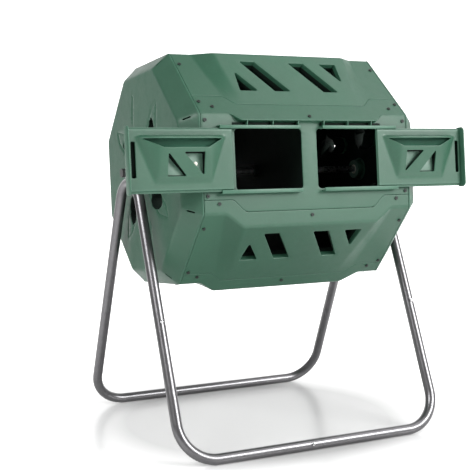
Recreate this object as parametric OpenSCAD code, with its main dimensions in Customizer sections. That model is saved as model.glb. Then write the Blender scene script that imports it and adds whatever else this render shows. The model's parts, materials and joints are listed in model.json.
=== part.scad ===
// Two-chamber compost tumbler: an octagonal drum of eight bent panels between
// two dished end panels, turning on a steel axle tube in a knock-down stand
// of bent steel tubes. Two sliding doors hang outside the front panel.
// Millimetres, +Z up, X along the axle, -Y is the door side.
// The origin is on the ground under the middle of the axle.

/* [Drum] */
// Distance from the axle to each flat side of the drum
drum_apothem = 269; // [268:0.5:270]
// Seam to seam length of the panels
drum_length = 544; // [542:1:546]
// How far each end panel is dished outwards
dish_depth = 37; // [34:1:40]
// Distance from the axle to the flats of the dished end
dish_apothem = 235; // [230:1:240]
// Moulded wall of the panels
wall = 3; // [2.6:0.1:3.2]
// How far the panel ridge stands beyond the drum corner
ridge_reach = 31.6; // [28:0.2:33]
// Tilt of the drum at rest, in degrees
drum_turn = -5; // [-6:0.5:-4]

/* [Doors] */
// Width of one sliding door
door_width = 249.5; // [246:0.5:249.5]
// Inner edge of the left door from the middle, door open
left_open = 202.5; // [190:0.5:204]
// Inner edge of the right door from the middle, door open
right_open = 176; // [170:0.5:200]
// Height the door hood stands off the panel
hood_reach = 34; // [28:1:34]

/* [Stand] */
// Height of the axle
axle_z = 640; // [639:0.5:641]
// Outer diameter of the stand tubes
tube_d = 25; // [24.8:0.1:25.1]
// Wall of the stand tubes
tube_wall = 1.2; // [1:0.1:1.3]
// Half the distance between the two leg planes
leg_x = 342; // [341:0.5:345]
// Half the distance between the floor rails
rail_y = 307; // [306:0.5:308]
// Height of the leg joints
joint_z = 280; // [270:1:290]
// Bend radius of the floor corners
corner_r = 87; // [80:1:92]
// Bend radius at the top of the legs
apex_r = 72; // [71.8:0.1:72.1]

/* [Hidden] */

green = [0.37, 0.52, 0.44];
dark = [0.10, 0.12, 0.11];
steel = [0.55, 0.55, 0.57];
ap = drum_apothem;
hs = ap*tan(22.5);              // half the side of the octagon
hl = drum_length/2;
vend = -80;                     // seam on the ends of each face
vmid = -108;                    // seam on the middle of each face
gap = 0.5;                      // half the open line at a seam
tr = tube_d/2;
ti = tr - tube_wall;
rail_z = tr;
apex_c = axle_z - 10.75 - tr - apex_r;              // centre of the top bend
leg_run = norm([rail_y, apex_c - rail_z]);
// legs lean in from the floor rails and run straight into the top bend
lean = atan2(rail_y, apex_c - rail_z) - asin(apex_r/leg_run);
up_len = sqrt(leg_run*leg_run - apex_r*apex_r);
neck_r = ti - 0.3;
neck_i = neck_r - tube_wall;
leg_len = (joint_z - rail_z)/cos(lean);
shaft_r = 8;
$fn = 64;

// ---------- helpers ----------
function S(a) = let(t = min(1, max(0, a))) t*t*(3 - 2*t);
function lerp(a, b, t) = a + (b - a)*t;
// regular octagon prism along X with flats facing front, back, up and down
module octo(x0, x1, a) translate([x0, 0, 0]) rotate([0, 90, 0]) rotate([0, 0, 22.5])
    cylinder(r = a/cos(22.5), h = x1 - x0, $fn = 8);
module xcyl(x0, x1, r) translate([x0, 0, 0]) rotate([0, 90, 0]) cylinder(r = r, h = x1 - x0);
// place in the drum's turned frame, axle at its origin
module in_drum() translate([0, 0, axle_z]) rotate([drum_turn, 0, 0]) children();
// frame of face k: x along the drum, -y outwards, z up the face
module face(k) rotate([-45*k, 0, 0]) children();
// box in a face's frame given by its x, outward and up ranges
module fbox(x, o, v) translate([x[0], -ap - o[1], v[0]]) cube([x[1] - x[0], o[1] - o[0], v[1] - v[0]]);
// round hole or peg along a face's normal
module fpeg(x, v, o, r) translate([x, -ap - o[0], v]) rotate([90, 0, 0]) cylinder(r = r, h = o[1] - o[0], $fn = 24);
// prism of an (x, up) outline along a face's normal
module fprism(p, o) translate([0, -ap - o[0], 0]) rotate([90, 0, 0]) linear_extrude(height = o[1] - o[0]) polygon(p);

// closed sheet from two grids of points, n columns by m rows
module sheet(top, bot, n, m) {
    N = n*m;
    function id(i, j) = i*m + j;
    pts = concat([for (i = [0:n - 1]) for (j = [0:m - 1]) top[i][j]],
                 [for (i = [0:n - 1]) for (j = [0:m - 1]) bot[i][j]]);
    tris = concat(
        [for (i = [0:n - 2]) for (j = [0:m - 2]) each [[id(i, j), id(i + 1, j), id(i, j + 1)], [id(i + 1, j), id(i + 1, j + 1), id(i, j + 1)]]],
        [for (i = [0:n - 2]) for (j = [0:m - 2]) each [[N + id(i, j), N + id(i, j + 1), N + id(i + 1, j)], [N + id(i + 1, j), N + id(i, j + 1), N + id(i + 1, j + 1)]]],
        [for (i = [0:n - 2]) each [[id(i, 0), N + id(i, 0), id(i + 1, 0)], [id(i + 1, 0), N + id(i, 0), N + id(i + 1, 0)]]],
        [for (i = [0:n - 2]) each [[id(i, m - 1), id(i + 1, m - 1), N + id(i, m - 1)], [id(i + 1, m - 1), N + id(i + 1, m - 1), N + id(i, m - 1)]]],
        [for (j = [0:m - 2]) each [[id(0, j), id(0, j + 1), N + id(0, j)], [id(0, j + 1), N + id(0, j + 1), N + id(0, j)]]],
        [for (j = [0:m - 2]) each [[id(n - 1, j), N + id(n - 1, j), id(n - 1, j + 1)], [id(n - 1, j + 1), N + id(n - 1, j), N + id(n - 1, j + 1)]]]);
    polyhedron(points = pts, faces = tris);
}

// ---------- drum panels ----------
// seam lines, ridge reach and raised skin as functions of the place along the drum
function edge_low(x, ve, vm) = lerp(ve, vm, S((205 - abs(x))/40));
function reach(x, full) = full*S((222 - abs(x))/45);
c45 = cos(45);
// a point given on the plane of the face above, in this face's (outward, up) pair
function above(v1, o1) = [c45*(-v1 - hs) + c45*o1, hs - c45*(-v1 - hs) + c45*o1];
function skin(x, v, vm) = let(xf = lerp(190, 222, (v + 80)/190), xp = lerp(150, 177, (v + 100)/190),
        top = c45*ridge_reach, vt = hs - c45*ridge_reach)
        S((xf - abs(x))/(xf - xp))*max(0, (v - vm)/(vt - vm))*top;
xs = [-hl + gap, -224, -212, -200, -188, -176, -160, -145, 145, 160, 176, 188, 200, 212, 224, hl - gap];
rows = 6;
function sheet_row(x, ve, vm, vue, vum) = let(d = reach(x, ridge_reach), r = above(-hs - d, 0), lo = edge_low(x, ve, vm))
    concat([above(edge_low(x, vue, vum) - gap, 0), r],
           [for (j = [1:rows - 2]) let(v = lerp(r[1], lo + gap, j/(rows - 2)))
               [min(skin(x, v, vm), lerp(r[0], 0, j/(rows - 2)) + 8), v]]);
n1 = [c45, c45];
function inward(j) = j == 0 ? n1*wall : (j == 1 ? [c45 + 1, c45]*wall/(1 + c45) : [1, 0]*wall);
function pt(x, q) = [x, -ap - q[0], q[1]];
module plain_sheet(ve, vm, vue, vum) {
    g = [for (x = xs) sheet_row(x, ve, vm, vue, vum)];
    sheet([for (i = [0:len(xs) - 1]) [for (j = [0:rows - 1]) pt(xs[i], g[i][j])]],
          [for (i = [0:len(xs) - 1]) [for (j = [0:rows - 1]) pt(xs[i], g[i][j] - inward(j))]], len(xs), rows);
}
// four vents: triangle, parallelogram, parallelogram, triangle
vent_a = [[-147, -34], [-97, -34], [-142, 33]];
vent_b = [[-119, 64], [-56, -34], [-11, -34], [-76, 64]];
function turned(p) = [for (q = p) [-q[0], 30 - q[1]]];
vents = [vent_a, vent_b, turned(vent_b), turned(vent_a)];
// outline moved outwards by d, corner by corner
function unit(a) = a/norm(a);
function grow(p, d) = let(n = len(p), s = sign(sum_cross(p))) [for (i = [0:n - 1]) let(a = p[(i + n - 1)%n], b = p[i], c = p[(i + 1)%n],
    u = unit(b - a), w = unit(c - b), nu = s*[u[1], -u[0]], nw = s*[w[1], -w[0]]) b + d*(nu + nw)/(1 + nu*nw)];
function sum_cross(p, i = 0) = i >= len(p) ? 0 : p[i][0]*p[(i + 1)%len(p)][1] - p[i][1]*p[(i + 1)%len(p)][0] + sum_cross(p, i + 1);
// the raised skin leans out from its lower seam; ducts stand square to it
duct_depth = 25;
function slope(vm) = atan(c45*ridge_reach/(hs - c45*ridge_reach - vm));
module on_skin(vm) translate([0, -ap, vm]) rotate([slope(vm), 0, 0]) children();
module skin_prism(p, y0, y1, vm) on_skin(vm) translate([0, y1, 0]) rotate([90, 0, 0]) linear_extrude(height = y1 - y0)
    polygon([for (q = p) [q[0], (q[1] - vm)/cos(slope(vm))]]);
module vent_ducts(vm) for (p = vents) difference() { skin_prism(grow(p, 2), 1, duct_depth, vm); skin_prism(p, -5, duct_depth + 5, vm); }
module vent_cuts(vm) for (p = vents) skin_prism(p, -12, duct_depth + 1, vm);
// rows of screws that hold a face to the two end panels
end_v = [69, -71];
module end_holes(v = end_v) for (sx = [-1, 1]) for (vv = v) fpeg(sx*262, vv, [-5, 5], 2.4);
// the flange lies on the face above and takes the seam screws
module flange_holes() face(1) { for (sx = [-1, 1]) fpeg(sx*235, -88.5, [-5, 5], 2.4); fpeg(0, -120, [-5, 5], 2.4); }
// tongues behind the next panel's flange
module tongues() {
    for (sx = [-1, 1]) {
        difference() {
            union() {
                fbox(sx > 0 ? [208, 243] : [-243, -208], [-6, -3.4], [-100, -79]);
                fbox(sx > 0 ? [208, 243] : [-243, -208], [-6, -1], [-82 + 2.6, -76.5]);
            }
            fpeg(sx*235, -88.5, [-9, 0], 2.1);
        }
        fbox(sx > 0 ? [10, 130] : [-130, -10], [-6, -3.4], [-128, -106]);
        fbox(sx > 0 ? [10, 130] : [-130, -10], [-6, -1], [-107.4, -104.5]);
    }
}
module plain_panel(k, ve = vend, vm = vmid) color(green) in_drum() face(k) {
    difference() {
        union() {
            plain_sheet(ve, vm, vend, vmid);
            vent_ducts(vm);
        }
        vent_cuts(vm);
        end_holes();
        flange_holes();
    }
    if (ve == vend) tongues();
}

// front panel: flange on the face above, overhanging lip, flat front with two windows and rails
lip_reach = 22.6;
function door_row(x) = let(s = S((205 - abs(x))/30), d = lip_reach*s, r = above(-hs - d, 0), lo = edge_low(x, vend, vmid) + gap)
    [above(edge_low(x, -48, -77) - gap, 0), r, [0, lerp(hs - 0.5, 92, s)], [0, lerp(hs - 3, 70, s)], [0, -60], [0, lo]];
// how far the back of the wall lies from its front, at each place and each of the six rows
function door_in(x, j) = let(s = S((205 - abs(x))/30))
    j == 0 ? n1*wall : (j == 1 ? [3 + 3.5*s, 1.24 - 0.64*s] : (j == 2 ? [3, 1.05 - 2.45*s] : [1, 0]*wall));
windows = [[-192, -19], [19, 192]];
win_v = [-60.5, 79];
module door_panel() color(green) in_drum() {
    difference() {
        union() {
            sheet([for (x = xs) let(r = door_row(x)) [for (j = [0:5]) pt(x, r[j])]],
                  [for (x = xs) let(r = door_row(x)) [for (j = [0:5]) pt(x, r[j] - door_in(x, j))]], len(xs), 6);
            for (sx = [-1, 1]) {
                r = sx > 0 ? [29, 233] : [-233, -29];
                fbox(r, [-1, 15.5], [81.5, 84.5]);          // top rail web
                fbox(r, [12.5, 15.5], [77, 84.5]);          // top rail lip
                fbox(r, [-1, 15.5], [-67, -64]);            // bottom rail web
                fbox(r, [12.5, 15.5], [-67, -58.5]);        // bottom rail lip
                for (i = [0:2]) fbox([sx*(34 + 65*i) - 1, sx*(34 + 65*i) + 1], [-1, 13], [84, 93]);
            }
        }
        for (w = windows) fbox(w, [-10, 5], win_v);
        end_holes([97, -71]);
        flange_holes();
        face(1) for (sx = [-1, 1]) fpeg(sx*262, -71, [-5, 5], 2.4);
    }
    tongues();
}

// ---------- end panels ----------
// outline of one vent in the dished end, along and across its radius, tip outwards
petal = [[149, -3], [145, 12], [134, 26], [114, 38], [94, 41], [80, 33], [76, 18], [86, 2], [109, -12], [132, -13]];
module petal_prism(p, x0, x1) translate([x0, 0, 0]) rotate([90, 0, 90]) linear_extrude(height = x1 - x0) polygon(p);
module end_panel(sx) color(green) in_drum() mirror([sx > 0 ? 1 : 0, 0, 0]) difference() {
    union() {
        difference() {
            union() {
                octo(-hl, -246, ap - 3.4);                    // flange under the panels
                octo(-hl - 3, -hl - gap, ap);                 // rim against the panel ends
                octo(-hl - gap, -hl, ap - 3.4);
                translate([-hl - 3, 0, 0]) rotate([0, -90, 0]) rotate([0, 0, 22.5])
                    cylinder(r1 = ap/cos(22.5), r2 = dish_apothem/cos(22.5), h = dish_depth, $fn = 8);
            }
            octo(-hl - 3, -240, ap - 6.4);
            translate([-hl - 2.9, 0, 0]) rotate([0, -90, 0]) rotate([0, 0, 22.5])
                cylinder(r1 = (ap - 6.4)/cos(22.5), r2 = (dish_apothem - 5)/cos(22.5), h = dish_depth - 2.9, $fn = 8);
        }
        for (a = [32:90:330]) rotate([a, 0, 0]) petal_prism(grow(petal, 2.5), -hl - dish_depth - 1, -hl + 8);
        xcyl(-hl - dish_depth - 7, -290, 24);
        for (a = [0:45:315]) rotate([a, 0, 0]) translate([-hl - dish_depth - 1.5, -1.5, 20]) cube([20, 3, 50]);
    }
    xcyl(-330, -280, 12.05);
    for (a = [32:90:330]) rotate([a, 0, 0]) petal_prism(petal, -320, -hl + 10);
    for (a = [22.5:45:360]) rotate([a, 0, 0]) translate([-hl - 26, 0, 262]) cube([16, 5, 40], center = true);
    for (k = [0:7]) face(k) for (v = k == 0 ? [97, -71] : end_v) fpeg(-262, v, [-9, 0], 2.1);
}
module axle_bush(sx) color([0.85, 0.85, 0.82]) translate([0, 0, axle_z]) mirror([sx > 0 ? 1 : 0, 0, 0]) difference() {
    union() {
        xcyl(-hl - dish_depth - 7 - 3, -hl - dish_depth - 7, 18);
        xcyl(-hl - dish_depth - 8, -292, 12);
    }
    xcyl(-330, -280, shaft_r + 0.06);
}

// ---------- centre partition ----------
// stiffening wall with a flanged rim, clear of the shaft
module octo_ring(x0, x1, a1, a0) difference() { octo(x0, x1, a1); octo(x0 - 1, x1 + 1, a0); }
module centre_partition() color(green) in_drum() difference() {
    union() {
        octo(-1.5, 1.5, ap - 3.6);
        octo_ring(-8, 8, ap - 3.6, ap - 6.6);
        xcyl(-12, 12, 16);
    }
    xcyl(-20, 20, shaft_r + 1);
    // room behind the overlap of each seam
    for (k = [0:7]) face(k) fbox([-9, 9], [-3.7, 2], [-114, -106]);
    face(1) fbox([-9, 9], [-4.5, 2], [-114, -62]);
}

// ---------- screws ----------
module screw(x, v, l = 9) difference() {
    union() { fpeg(x, v, [0.1, 2.6], 4); fpeg(x, v, [-l, 0.5], 1.95); }
    fpeg(x, v, [1.5, 3], 1.6);
}
module end_screws(sx) color(dark) in_drum() for (k = [0:7]) face(k) for (v = k == 0 ? [97, -71] : end_v) screw(sx*262, v, 8.5);
module seam_screws() color(dark) in_drum() for (k = [0:7]) face(k) { screw(-235, -88.5, 8); screw(235, -88.5, 8); screw(0, -120, 5.5); }

// ---------- sliding doors ----------
vane_a = [[74, 25.5], [127, 25.5], [74, -28]];
vane_b = [[161, 27], [161, -28], [114, -28]];
function lowered(p, d) = [for (q = p) [q[0], q[1] - d]];
module door(side) color(green) in_drum() mirror([side < 0 ? 1 : 0, 0, 0]) translate([side < 0 ? left_open : right_open, 0, 0]) {
    difference() {
        union() {
            difference() { fbox([0, 246], [9, 12.1], [-62, 78]); fbox([8, 222], [8, 13], [-50, 70]); }
            fbox([2, 246], [12, 15], [-57.3, 75.8]);
        }
        fprism([[23, 54], [223, 54], [183, -38], [55, -38]], [0, 20]);
        fbox([228.5, 240], [0, 20], [-30, 49]);
    }
    // hood standing out of the door, open along its top
    difference() {
        hood();
        for (t = [vane_a, vane_b]) fprism(t, [9.5, 60]);
    }
    // wall behind the hood, and a vane set back behind each of its vents
    fbox([28, 219], [3, 5.5], [-36, 60.5]);
    fbox([28, 30.5], [3, 12.5], [-36, 60.5]);
    fbox([216.5, 219], [3, 12.5], [-36, 60.5]);
    fbox([28, 219], [3, 12.5], [57, 60.5]);
    fbox([62, 182], [3, 14], [-41.5, -38.5]);
    fbox([62, 182], [3, 5.5], [-41.5, -35]);
    for (t = [vane_a, vane_b]) fprism(lowered(t, 3), [11, 13]);
    fbox([80, 92], [5, 11.5], [8, 20]);
    fbox([148, 160], [5, 11.5], [-28, -16]);
    // upright pull at the outer end
    translate([0, -ap, 0]) pull();
}
module pull() translate([246, -29, -65]) {
    translate([0, 0, 6]) cube([3.5, 26, 134.5]);
    translate([0, 6, 0]) cube([3.5, 20, 146.5]);
}
module hood() {
    a = [[20, 56, 15], [226, 56, 15], [186, -41, 15], [52, -41, 15]];
    b = [[65, 33, hood_reach], [171, 33, hood_reach], [169, -31, 20], [69, -31, 20]];
    top = concat(a, b);
    bot = [for (q = top) [q[0], q[1], q[2] - 3]];
    p = [for (q = concat(top, bot)) [q[0], -ap - q[2], q[1]]];
    polyhedron(points = p, faces = [
        [4, 5, 7], [5, 6, 7], [0, 4, 3], [4, 7, 3], [1, 2, 5], [2, 6, 5], [3, 7, 2], [7, 6, 2],
        [12, 15, 13], [13, 15, 14], [8, 11, 12], [12, 11, 15], [9, 13, 10], [10, 13, 14], [11, 10, 15], [15, 10, 14],
        [0, 8, 4], [8, 12, 4], [4, 12, 5], [12, 13, 5], [5, 13, 1], [13, 9, 1], [1, 9, 2], [9, 10, 2], [2, 10, 3], [10, 11, 3], [3, 11, 0], [11, 8, 0]]);
}

// ---------- stand ----------
// local frame of a leg: rail axis at the origin along x, leg up z
module leg_frame(sy) mirror([0, sy > 0 ? 1 : 0, 0]) translate([0, -rail_y, rail_z]) rotate([-lean, 0, 0]) children();
module pipe(h) difference() { cylinder(r = tr, h = h); translate([0, 0, -1]) cylinder(r = ti, h = h + 2); }
module bend(r, a0, a1) rotate_extrude(angle = a1 - a0, start = a0) translate([r, 0]) difference() { circle(r = tr, $fn = 48); circle(r = ti, $fn = 48); }
button_h = 26;
rail_joint_x = 5;
neck_len = 55;
// straight pipe from z0 that ends at z1 in a swaged neck
module necked(z0, z1) rotate_extrude() polygon([[ti, z0], [tr, z0], [tr, z1], [neck_r, z1], [neck_r, z1 + neck_len],
    [neck_i, z1 + neck_len], [neck_i, z1 - 4], [ti, z1 - 4]]);
module button_hole() rotate([90, 0, 0]) cylinder(r = 4.1, h = 20, $fn = 32);
// L tube of a lower corner, sx is the side it stands on; the right one ends in a neck for the left one
module lower_tube(sx, sy) color(steel) leg_frame(sy) mirror([sx > 0 ? 1 : 0, 0, 0]) difference() {
    union() {
        translate([-leg_x, 0, 0]) necked(corner_r, leg_len);
        translate([-leg_x + corner_r, 0, corner_r]) rotate([90, 0, 0]) bend(corner_r, 180, 270);
        if (sx < 0) translate([-leg_x + corner_r, 0, 0]) rotate([0, 90, 0]) pipe(leg_x - corner_r + rail_joint_x);
        if (sx > 0) translate([-leg_x + corner_r, 0, 0]) rotate([0, 90, 0]) necked(0, leg_x - corner_r - rail_joint_x - 0.4);
    }
    translate([-leg_x, 0, leg_len + button_h]) button_hole();
    translate([(sx < 0 ? 1 : -1)*(rail_joint_x - 25), 0, 0]) button_hole();
}
// inverted U of one side, made as two mirrored halves that meet at the top
module upper_half() difference() {
    leg_frame(-1) translate([0, 0, up_len]) {
        rotate([180, 0, 0]) pipe(up_len - leg_len - 0.4);
        translate([0, apex_r, 0]) rotate([90, 0, 90]) bend(apex_r, 110, 180);
    }
    translate([-50, 0, apex_c]) cube([100, 100, 200]);
}
module upper_frame(sx) color(steel) translate([sx*leg_x, 0, 0]) difference() {
    union() { upper_half(); mirror([0, 1, 0]) upper_half(); }
    for (sy = [-1, 1]) leg_frame(sy) translate([0, 0, leg_len + button_h]) button_hole();
}
module axle_sleeve(sx) color(steel) translate([0, 0, axle_z]) mirror([sx > 0 ? 1 : 0, 0, 0]) difference() {
    union() {
        xcyl(-360, -324, 10.65);
        translate([-leg_x - 8, -6.5, -17]) cube([16, 13, 10]);
    }
    translate([-leg_x, 0, apex_c - axle_z]) rotate([90, 0, 90]) rotate_extrude() translate([apex_r, 0]) circle(r = tr + 0.1, $fn = 48);
    xcyl(-361, -323, shaft_r + 0.06);
    translate([-352, 0, 0]) cylinder(r = 2.1, h = 30, center = true, $fn = 24);
}
module axle_tube() color(steel) translate([0, 0, axle_z]) difference() {
    xcyl(-360, 360, shaft_r);
    xcyl(-361, 361, shaft_r - 1.5);
    for (sx = [-1, 1]) translate([sx*352, 0, 0]) cylinder(r = 2.1, h = 30, center = true, $fn = 24);
}
module axle_plug(sx) color(dark) translate([0, 0, axle_z]) mirror([sx > 0 ? 1 : 0, 0, 0]) {
    xcyl(-363.5, -360.1, 10.6);
    xcyl(-361, -356, shaft_r - 1.6);
}
module axle_pins() color(steel) for (sx = [-1, 1]) translate([sx*352, 0, axle_z]) cylinder(r = 2, h = 24, center = true, $fn = 24);
module thrust_washer(sx) color(steel) translate([0, 0, axle_z]) mirror([sx > 0 ? 1 : 0, 0, 0]) difference() {
    xcyl(-323.7, -hl - dish_depth - 10.3, 15);
    xcyl(-330, -310, shaft_r + 0.2);
}

// ---------- snap joints ----------
// where each snap button sits: its own frame has -y pointing out of the tube
module at_leg_button(sx, sy) leg_frame(sy) translate([sx*leg_x, 0, leg_len + button_h]) children();
module at_rail_button(sy) leg_frame(sy) translate([rail_joint_x - 25, 0, 0]) children();
module button() color(steel) {
    translate([0, -7, 0]) rotate([90, 0, 0]) cylinder(r = 3.8, h = 8, $fn = 32);
    intersection() {
        translate([0, -12.2, 0]) sphere(r = 4.6, $fn = 32);
        translate([0, -14.9, 0]) rotate([90, 0, 0]) cylinder(r = 3.8, h = 5, $fn = 32);
    }
}
// bent leaf behind a button: two arms joined by a round nose, along z
module leaf() color(steel) {
    difference() {
        translate([-5.5, -6.6, -7]) cube([11, 0.7, 35]);
        translate([0, -4, 0]) rotate([90, 0, 0]) cylinder(r = 4.1, h = 5, $fn = 32);
    }
    translate([-5.5, 5.9, -7]) cube([11, 0.7, 35]);
    translate([-5.5, 0, 28]) rotate([0, 90, 0]) rotate_extrude(angle = 180, start = 90) translate([5.9, 0]) square([0.7, 11]);
}
module snap_springs() color(steel) {
    for (sx = [-1, 1]) for (sy = [-1, 1]) at_leg_button(sx, sy) leaf();
    for (sy = [-1, 1]) at_rail_button(sy) rotate([0, 90, 0]) leaf();
}

upper_frame(-1);  // upper_frame_left
upper_frame(1);  // upper_frame_right
lower_tube(-1, -1);  // lower_tube_front_left
lower_tube(1, -1);  // lower_tube_front_right
lower_tube(-1, 1);  // lower_tube_back_left
lower_tube(1, 1);  // lower_tube_back_right
axle_sleeve(-1);  // axle_sleeve_left
axle_sleeve(1);  // axle_sleeve_right
axle_tube();
axle_plug(-1);  // axle_plug_left
axle_plug(1);  // axle_plug_right
axle_pins();
thrust_washer(-1);  // thrust_washer_left
thrust_washer(1);  // thrust_washer_right
snap_springs();
at_leg_button(-1, -1) button();  // button_leg_front_left
at_leg_button(1, -1) button();  // button_leg_front_right
at_leg_button(-1, 1) button();  // button_leg_back_left
at_leg_button(1, 1) button();  // button_leg_back_right
at_rail_button(-1) button();  // button_rail_front
at_rail_button(1) button();  // button_rail_back
end_panel(-1);  // end_panel_left
end_panel(1);  // end_panel_right
axle_bush(-1);  // axle_bush_left
axle_bush(1);  // axle_bush_right
centre_partition();
door_panel();
plain_panel(1, -48, -77);  // panel_upper_front
plain_panel(2);  // panel_top
plain_panel(3);  // panel_upper_back
plain_panel(4);  // panel_back
plain_panel(5);  // panel_lower_back
plain_panel(6);  // panel_bottom
plain_panel(7);  // panel_lower_front
end_screws(-1);  // end_screws_left
end_screws(1);  // end_screws_right
seam_screws();
door(-1);  // door_left
door(1);  // door_right
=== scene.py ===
import json
import math
import bpy
import numpy as np
from mathutils import Matrix, Vector
from mathutils.geometry import delaunay_2d_cdt


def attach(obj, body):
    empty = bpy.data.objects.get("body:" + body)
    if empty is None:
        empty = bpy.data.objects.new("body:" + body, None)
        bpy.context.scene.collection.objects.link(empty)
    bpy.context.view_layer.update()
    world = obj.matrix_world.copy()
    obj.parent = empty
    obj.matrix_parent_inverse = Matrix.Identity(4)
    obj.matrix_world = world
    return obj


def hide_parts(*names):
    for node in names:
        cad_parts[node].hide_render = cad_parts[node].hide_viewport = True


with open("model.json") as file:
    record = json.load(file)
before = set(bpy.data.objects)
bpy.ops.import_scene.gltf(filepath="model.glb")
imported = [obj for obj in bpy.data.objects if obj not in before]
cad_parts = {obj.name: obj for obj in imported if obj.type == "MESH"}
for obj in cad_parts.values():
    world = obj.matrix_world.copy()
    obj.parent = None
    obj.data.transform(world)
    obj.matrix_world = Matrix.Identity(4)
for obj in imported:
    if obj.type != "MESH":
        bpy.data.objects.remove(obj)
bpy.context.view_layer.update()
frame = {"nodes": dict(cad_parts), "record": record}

NODES = frame["nodes"]

# ------------------------------------------------------------------ sizes, mm
AP, HL, C45 = 269.0, 272.0, math.cos(math.radians(45))
HS = AP * math.tan(math.radians(22.5))
AXLE_Z, TURN = 640.0, -5.0
REACH, LIP = 31.6, 22.6
T = 2.8            # moulded wall
SEAM = 1.15        # half the line between two panels, plus its rounded edge
VT = HS - C45 * REACH


def lerp(a, b, t):
    return a + (b - a) * t


def S(a):
    t = min(1.0, max(0.0, a))
    return t * t * (3 - 2 * t)


def rclamp(t, h=0.13):
    """0 to 1 ramp with rounded ends."""
    if t <= -h:
        return 0.0
    if t < h:
        return (t + h) ** 2 / (4 * h)
    if t <= 1 - h:
        return t
    if t < 1 + h:
        return 1 - (1 + h - t) ** 2 / (4 * h)
    return 1.0


def in_drum(k=0):
    return (Matrix.Scale(0.001, 4) @ Matrix.Translation((0, 0, AXLE_Z))
            @ Matrix.Rotation(math.radians(TURN), 4, "X") @ Matrix.Rotation(math.radians(-45 * k), 4, "X"))


# ------------------------------------------------------------------ mesh tools
class Build:
    def __init__(self):
        self.v, self.f, self.m, self.sharp = [], [], [], []

    def add(self, verts, faces, mat=0, flip=False):
        n = len(self.v)
        self.v.extend(tuple(v) for v in verts)
        for f in faces:
            g = tuple(int(i) + n for i in f)
            self.f.append(g[::-1] if flip else g)
            self.m.append(mat)

    def make(self, name, matrix, mats, mirror=False, angle=40):
        mesh = bpy.data.meshes.new(name)
        v = [(-p[0], p[1], p[2]) for p in self.v] if mirror else self.v
        f = [g[::-1] for g in self.f] if mirror else self.f
        mesh.from_pydata([matrix @ Vector(p) for p in v], [], f)
        mesh.update()
        for m in mats:
            mesh.materials.append(m)
        mesh.polygons.foreach_set("material_index", self.m)
        mesh.polygons.foreach_set("use_smooth", [True] * len(mesh.polygons))
        mesh.set_sharp_from_angle(angle=math.radians(angle))
        mesh.validate()
        o = bpy.data.objects.new(name, mesh)
        bpy.context.scene.collection.objects.link(o)
        return o


def rounded(poly, r, seg=5, ccw=True):
    """Outline with arcs at its corners; r is one radius or one for each corner."""
    n = len(poly)
    area = sum(poly[i][0] * poly[(i + 1) % n][1] - poly[i][1] * poly[(i + 1) % n][0] for i in range(n))
    rs = list(r) if isinstance(r, (list, tuple)) else [r] * n
    if (area > 0) != ccw:
        poly, rs = poly[::-1], rs[::-1]
    out = []
    for i in range(n):
        a, b, c = (np.array(poly[(i + j) % n], float) for j in (-1, 0, 1))
        u, w = (a - b) / np.linalg.norm(a - b), (c - b) / np.linalg.norm(c - b)
        half = math.acos(max(-1, min(1, float(u @ w)))) / 2
        rr = rs[i]
        if rr <= 0 or half > math.radians(87):
            out.append(tuple(b))
            continue
        t = min(rr / math.tan(half), 0.45 * np.linalg.norm(a - b), 0.45 * np.linalg.norm(c - b))
        rr = t * math.tan(half)
        bis = (u + w) / np.linalg.norm(u + w)
        cen = b + bis * rr / math.sin(half)
        p0, p1 = b + u * t, b + w * t
        a0, a1 = math.atan2(*(p0 - cen)[::-1]), math.atan2(*(p1 - cen)[::-1])
        d = (a1 - a0 + math.pi) % (2 * math.pi) - math.pi
        for j in range(seg + 1):
            q = a0 + d * j / seg
            out.append((cen[0] + rr * math.cos(q), cen[1] + rr * math.sin(q)))
    return out


def split_long(loop, step):
    """Adds points on the straight runs of a loop so that no edge is over step."""
    out = []
    for i, p in enumerate(loop):
        q = loop[(i + 1) % len(loop)]
        n = max(1, int(math.ceil(math.dist(p, q) / step)))
        out.extend((lerp(p[0], q[0], j / n), lerp(p[1], q[1], j / n)) for j in range(n))
    return out


def inside(pts, loop):
    x, y = pts[:, 0], pts[:, 1]
    res = np.zeros(len(pts), bool)
    n = len(loop)
    for i in range(n):
        x0, y0 = loop[i]
        x1, y1 = loop[(i + 1) % n]
        if y0 == y1:
            continue
        hit = ((y0 > y) != (y1 > y)) & (x < (x1 - x0) * (y - y0) / (y1 - y0) + x0)
        res ^= hit
    return res


def near(pts, loop, d):
    res = np.zeros(len(pts), bool)
    n = len(loop)
    for i in range(n):
        a, b = np.array(loop[i]), np.array(loop[(i + 1) % n])
        ab = b - a
        L = float(ab @ ab)
        if L < 1e-9:
            continue
        t = np.clip(((pts - a) @ ab) / L, 0, 1)
        res |= np.linalg.norm(pts - (a + t[:, None] * ab), axis=1) < d
    return res


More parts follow.
